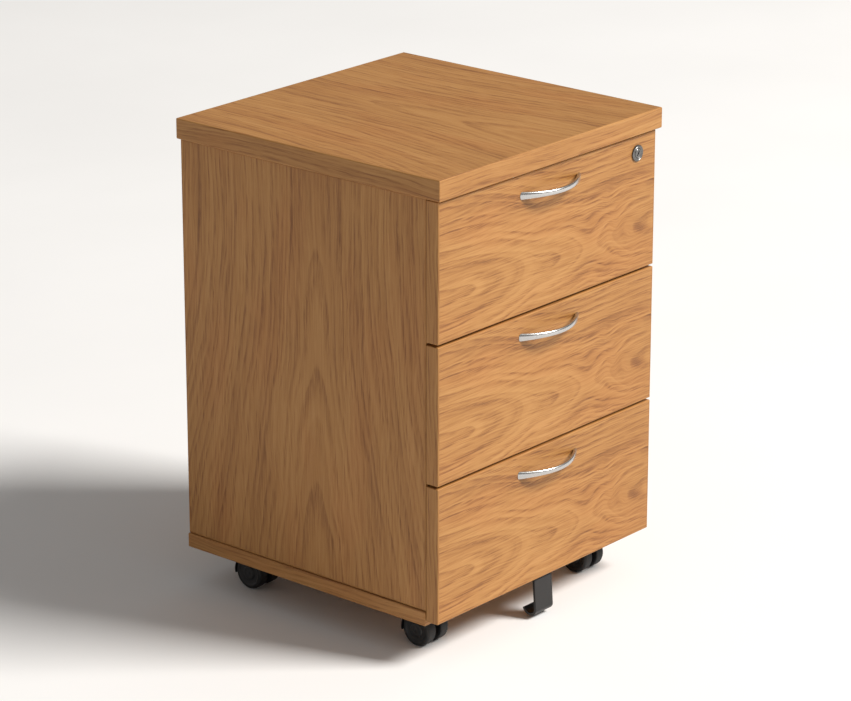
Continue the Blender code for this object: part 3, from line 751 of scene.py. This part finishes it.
def build_cage(node, body):
    """A ball cage: a thin strip with a row of balls along each lip."""
    low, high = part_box(node)
    web, lip = (high.x, low.x) if middle(node).x > 0 else (low.x, high.x)
    centre, half = (low.z + high.z) / 2, (high.z - low.z) / 2
    bm = bmesh.new()
    prism(bm, channel_outline(web, lip, centre, half, 0.8 * MM), "Y", low.y, high.y)
    row = (web + lip) / 2 + math.copysign(0.6 * MM, lip - web)
    count = 11
    for i in range(count):
        y = low.y + (high.y - low.y) * (i + 0.5) / count
        for side in (-1, 1):
            ball(bm, (row, y, centre + side * (half - 0.2 * MM)), BALL_RADIUS)
    piece(node.replace("cage", "retainer"), finished("cage", bm, [ZINC], 40), body, "zinc_steel", node)


def build_runners():
    for drawer in DRAWERS:
        for side, _ in SIDES:
            name = f"{drawer}_{side}"
            build_runner(f"{name}_runner_fixed", "cabinet", False, (0.08, 0.5, 0.9), 0.5 * MM)
            build_runner(f"{name}_runner_moving", f"{drawer}_drawer", True, (0.06, 0.35, 0.8), 0.3 * MM)
            build_cage(f"{name}_ball_cage", f"{drawer}_ball_cages")


def build_foot():
    """The anti-tilt foot: a bent, painted strip with its two screws under the lower front."""
    low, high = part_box("anti_tilt_foot")
    back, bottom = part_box("lower_drawer_front")[1].y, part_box("lower_drawer_front")[0].z
    thickness, gap = 3 * MM, 0.3 * MM
    line = [(-1.5 * MM, -thickness / 2 - gap), (-8 * MM, -thickness / 2 - gap)]
    line += arc((-8 * MM, -5.8 * MM), 4 * MM, 90, 175, 10)
    line += arc((-8.2 * MM, -41.2 * MM), 6.4 * MM, 185, 262, 12)
    line += arc((-7.2 * MM, -37.6 * MM), 10.6 * MM, 275, 340, 10)
    outline = [(back + y, bottom + z) for y, z in ribbon(line, thickness)]
    bm = bmesh.new()
    prism(bm, outline, "X", low.x, high.x)
    foot = piece("tilt_stop_foot", finished("tilt_stop_foot", bm, [BLACK_PAINT], 40), "lower_drawer",
                 "black_steel", "anti_tilt_foot")
    soft = foot.modifiers.new("soft_edges", "BEVEL")
    soft.width, soft.segments, soft.limit_method, soft.angle_limit = 0.5 * MM, 3, "ANGLE", math.radians(50)
    foot.modifiers.move(1, 0)
    bm = bmesh.new()
    for side in (-1, 1):
        place = (side * 9 * MM, back - 3.8 * MM, bottom - thickness - gap)
        screw_head(bm, place, (0, 0, -1), 2.2 * MM, 0.8 * MM)
    piece("tilt_stop_screws", finished("tilt_stop_screws", bm, [ZINC]), "lower_drawer", "zinc_steel")


def finish_lock_bar():
    """The CAD strip is right as it is: it gets the plated finish and broken edges."""
    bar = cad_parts["lock_bar"]
    bar.data.materials.clear()
    bar.data.materials.append(ZINC)
    soft = bar.modifiers.new("soft_edges", "BEVEL")
    soft.width, soft.segments, soft.limit_method = 0.25 * MM, 2, "ANGLE"


# ---- castors ------------------------------------------------------------------------------------------


def build_hood(name, node, pin, axle):
    """The hood: a rounded fender over both wheels, the web between them and the collar round the kingpin."""
    low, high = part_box(node)
    half, shoulder = (high.x - low.x) / 2, 1.5 * MM
    section = [(-half, HOOD_INNER)]
    section += arc((shoulder - half, HOOD_OUTER - shoulder), shoulder, 180, 90, 6)
    section += arc((half - shoulder, HOOD_OUTER - shoulder), shoulder, 90, 0, 6)
    section += [(half, HOOD_INNER), (half - 1.4 * MM, HOOD_INNER)]
    section += [(1.4 * MM - half, HOOD_INNER)]
    bm = bmesh.new()
    steps, taper = 44, 3
    rings = []
    for i in range(steps + 1):
        angle = math.radians(HOOD_BACK + (HOOD_FRONT - HOOD_BACK) * i / steps)
        ends = min(i, steps - i, taper) / taper
        trim = 0.7 * MM * (1 - math.sqrt(max(0.0, 1 - (1 - ends) ** 2)))
        ring = []
        for x, r in section:
            radius = min(max(r, HOOD_INNER + trim), HOOD_OUTER - trim)
            wide = math.copysign(min(abs(x), half - trim), x)
            ring.append((pin.x + wide, axle.y + radius * math.cos(angle), axle.z + radius * math.sin(angle)))
        rings.append(ring)
    loft(bm, rings)
    hood = piece(f"{name}_housing", finished("castor_housing", bm, [NYLON], 38), name, "black_plastic", node)

    centre = (axle.y, axle.z)
    between = arc(centre, (HOOD_OUTER + HOOD_INNER) / 2, HOOD_BACK + 1, HOOD_FRONT - 1, 30)
    between += arc(centre, HUB_RADIUS, HOOD_FRONT + 12, 352 + HOOD_BACK, 24)
    web = bmesh.new()
    prism(web, between, "X", pin.x - WEB_HALF, pin.x + WEB_HALF, 0.4 * MM)
    collar = [(0, COLLAR_FOOT), (COLLAR_RADIUS, COLLAR_FOOT), (COLLAR_RADIUS, high.z - 0.3 * MM)]
    collar += [(COLLAR_RADIUS - 0.3 * MM, high.z), (0, high.z)]
    wheel_space = HOOD_INNER - 0.05 * MM
    ring = bmesh.new()
    turned(ring, collar, (pin.x, pin.y, 0), "Z", 40)
    combine(
        hood,
        ("UNION", finished("collar", ring, [NYLON])),
        ("DIFFERENCE", rod_mesh("wheel_space", tuple(axle), "X", wheel_space, -30 * MM, 30 * MM, 96)),
        ("UNION", finished("web", web, [NYLON])),
        ("DIFFERENCE", rod_mesh("pin_hole", (pin.x, pin.y, 0), "Z", BORE_RADIUS, PIN_HOLE_END, 60 * MM)),
        ("DIFFERENCE", rod_mesh("axle_bore", tuple(axle), "X", BORE_RADIUS, -30 * MM, 30 * MM)),
    )


def build_wheel(name, node, hand):
    """A twin castor's wheel: a rolling tread with rounded shoulders and a dished face with a hub cap."""
    low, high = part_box(node)
    centre = middle(node)
    sign = -1 if hand == "left" else 1
    inner, outer = (high.x, low.x) if sign < 0 else (low.x, high.x)

    def out(depth):
        return outer - sign * depth - centre.x

    radius = WHEEL_RADIUS
    profile = [(0, out(0.25 * MM)), (1.6 * MM, out(0.30 * MM)), (3.4 * MM, out(0.75 * MM))]
    profile += [(5.2 * MM, out(0.55 * MM)), (6.2 * MM, out(0.35 * MM)), (7.6 * MM, out(0.35 * MM))]
    profile += [(8.3 * MM, out(0.8 * MM)), (8.8 * MM, out(1.7 * MM)), (13.4 * MM, out(1.5 * MM))]
    profile += [(14.4 * MM, out(0.9 * MM)), (15.0 * MM, out(0.2 * MM)), (15.8 * MM, out(0.0))]
    profile += [(16.9 * MM, out(0.0))]
    profile += [(radius - 3.1 * MM + r, centre_x) for r, centre_x in
                [(3.1 * MM * math.sin(t), out(3.1 * MM * (1 - math.cos(t))))
                 for t in [math.radians(18 * k) for k in range(1, 6)]]]
    base = inner - centre.x
    profile += [(radius, base + sign * 1.9 * MM), (radius - 0.5 * MM, base + sign * 0.7 * MM)]
    bore_end = middle(f"{name}_axle").x + sign * BORE_END - centre.x
    profile += [(radius - 1.5 * MM, base), (BORE_RADIUS, base), (BORE_RADIUS, bore_end), (0, bore_end)]
    bm = bmesh.new()
    turned(bm, profile, centre, "X", 64)
    for face in bm.faces:
        middle_point = face.calc_center_median() - centre
        rolling = math.hypot(middle_point.y, middle_point.z) > 15.4 * MM
        face.material_index = 1 if rolling else 0
    mesh = finished("castor_wheel", bm, [NYLON, TREAD], 40)
    piece(f"{name}_{hand}_tyre", mesh, f"{name}_{hand}_wheel", "wheel_tread", node)


def build_plate(name, node, pin):
    """The mounting plate with its ball race, kingpin and four screws."""
    low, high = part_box(node)
    thickness = 2 * MM
    bottom = high.z - thickness
    bm = bmesh.new()
    rings = []
    edge = ((0.4 * MM, 0.0), (0.0, 0.4 * MM), (0.0, thickness - 0.2 * MM), (0.2 * MM, thickness))
    for inset, rise in edge:
        ring = rounded_rectangle((low.x, low.y), (high.x, high.y), inset, 4 * MM, 5)
        rings.append([(*point, bottom + rise) for point in ring])
    loft(bm, rings)
    race = [(0, bottom + 0.5 * MM), (9.0 * MM, bottom + 0.5 * MM), (8.6 * MM, bottom - 0.2 * MM)]
    race += [(7.4 * MM, bottom - 1.0 * MM), (6.2 * MM, bottom - 1.2 * MM), (2.5 * MM, bottom - 1.2 * MM)]
    race += [(2.5 * MM, low.z + 0.5 * MM), (2.0 * MM, low.z), (0, low.z)]
    turned(bm, race, (pin.x, pin.y, 0), "Z", 40)
    for x in (-1, 1):
        for y in (-1, 1):
            place = (pin.x + x * 15.5 * MM, pin.y + y * 15.5 * MM, bottom)
            screw_head(bm, place, (0, 0, -1), 3.3 * MM, 1.3 * MM)
    piece(f"{name}_top_plate", finished("castor_top_plate", bm, [ZINC], 40), "cabinet", "zinc_steel", node)


def build_castors():
    for row in ROWS:
        for side, _ in SIDES:
            name = f"{row}_{side}_castor"
            pin, axle = middle(f"{name}_plate"), middle(f"{name}_axle")
            build_plate(name, f"{name}_plate", pin)
            build_hood(name, f"{name}_hood", pin, axle)
            for hand, _ in SIDES:
                build_wheel(name, f"{name}_{hand}_wheel", hand)
            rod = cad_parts[f"{name}_axle"]
            rod.data.materials.clear()
            rod.data.materials.append(ZINC)


# ---- stage --------------------------------------------------------------------------------------------

CAMERA_PLACE = Vector((-3.093, -2.636, 1.696))
CAMERA_LENS = 153  # on the default 36 mm sensor
KEY_PLACE, KEY_SIZE, KEY_POWER = Vector((4.6, -8.2, 9.4)), 4.2, 2350
SKY, SKY_STRENGTH = (1.0, 0.98, 0.955, 1), 0.28


def aim(item, place, target):
    item.location = place
    item.rotation_euler = (target - place).to_track_quat("-Z", "Y").to_euler()


def add_light(name, place, size, power, color, target):
    data = bpy.data.lights.new(name, "AREA")
    data.size = size
    data.energy = power
    data.color = color
    lamp = bpy.data.objects.new(name, data)
    bpy.context.scene.collection.objects.link(lamp)
    aim(lamp, place, target)


def build_stage():
    centre = (cad_box[0] + cad_box[1]) / 2
    camera = bpy.data.objects.new("camera", bpy.data.cameras.new("camera"))
    camera.data.lens = CAMERA_LENS
    camera.data.clip_end = 100
    bpy.context.scene.collection.objects.link(camera)
    bpy.context.scene.camera = camera
    aim(camera, CAMERA_PLACE, centre)
    add_light("key", KEY_PLACE, KEY_SIZE, KEY_POWER, (1.0, 0.97, 0.93), centre)

    world = bpy.data.worlds.new("studio")
    world.use_nodes = True
    sky = world.node_tree.nodes["Background"]
    sky.inputs["Color"].default_value = SKY
    sky.inputs["Strength"].default_value = SKY_STRENGTH
    bpy.context.scene.world = world
    bpy.context.scene.view_settings.view_transform = "Standard"

    n = Nodes("floor_paint", roughness=0.75)
    x, y, _ = n.object_axes()
    mottle = n.noise(n.join(n.times(x, 2.0), n.times(y, 2.0)), 3)
    n.set(Base_Color=n.ramp(mottle, (0.3, (0.86, 0.86, 0.86, 1)), (0.7, (0.89, 0.89, 0.89, 1))))
    n.set(Specular_IOR_Level=0.2)
    bm = bmesh.new()
    half = 30.0
    corners = ((-half, -half, 0), (half, -half, 0), (half, half, 0), (-half, half, 0))
    bm.faces.new([bm.verts.new(corner) for corner in corners])
    floor = bpy.data.objects.new("floor", finished("floor", bm, [n.material]))
    bpy.context.scene.collection.objects.link(floor)


build_boards()
for drawer_name in DRAWERS:
    build_handle(drawer_name)
    build_tray(drawer_name)
build_lock()
build_runners()
build_foot()
finish_lock_bar()
build_castors()
build_stage()
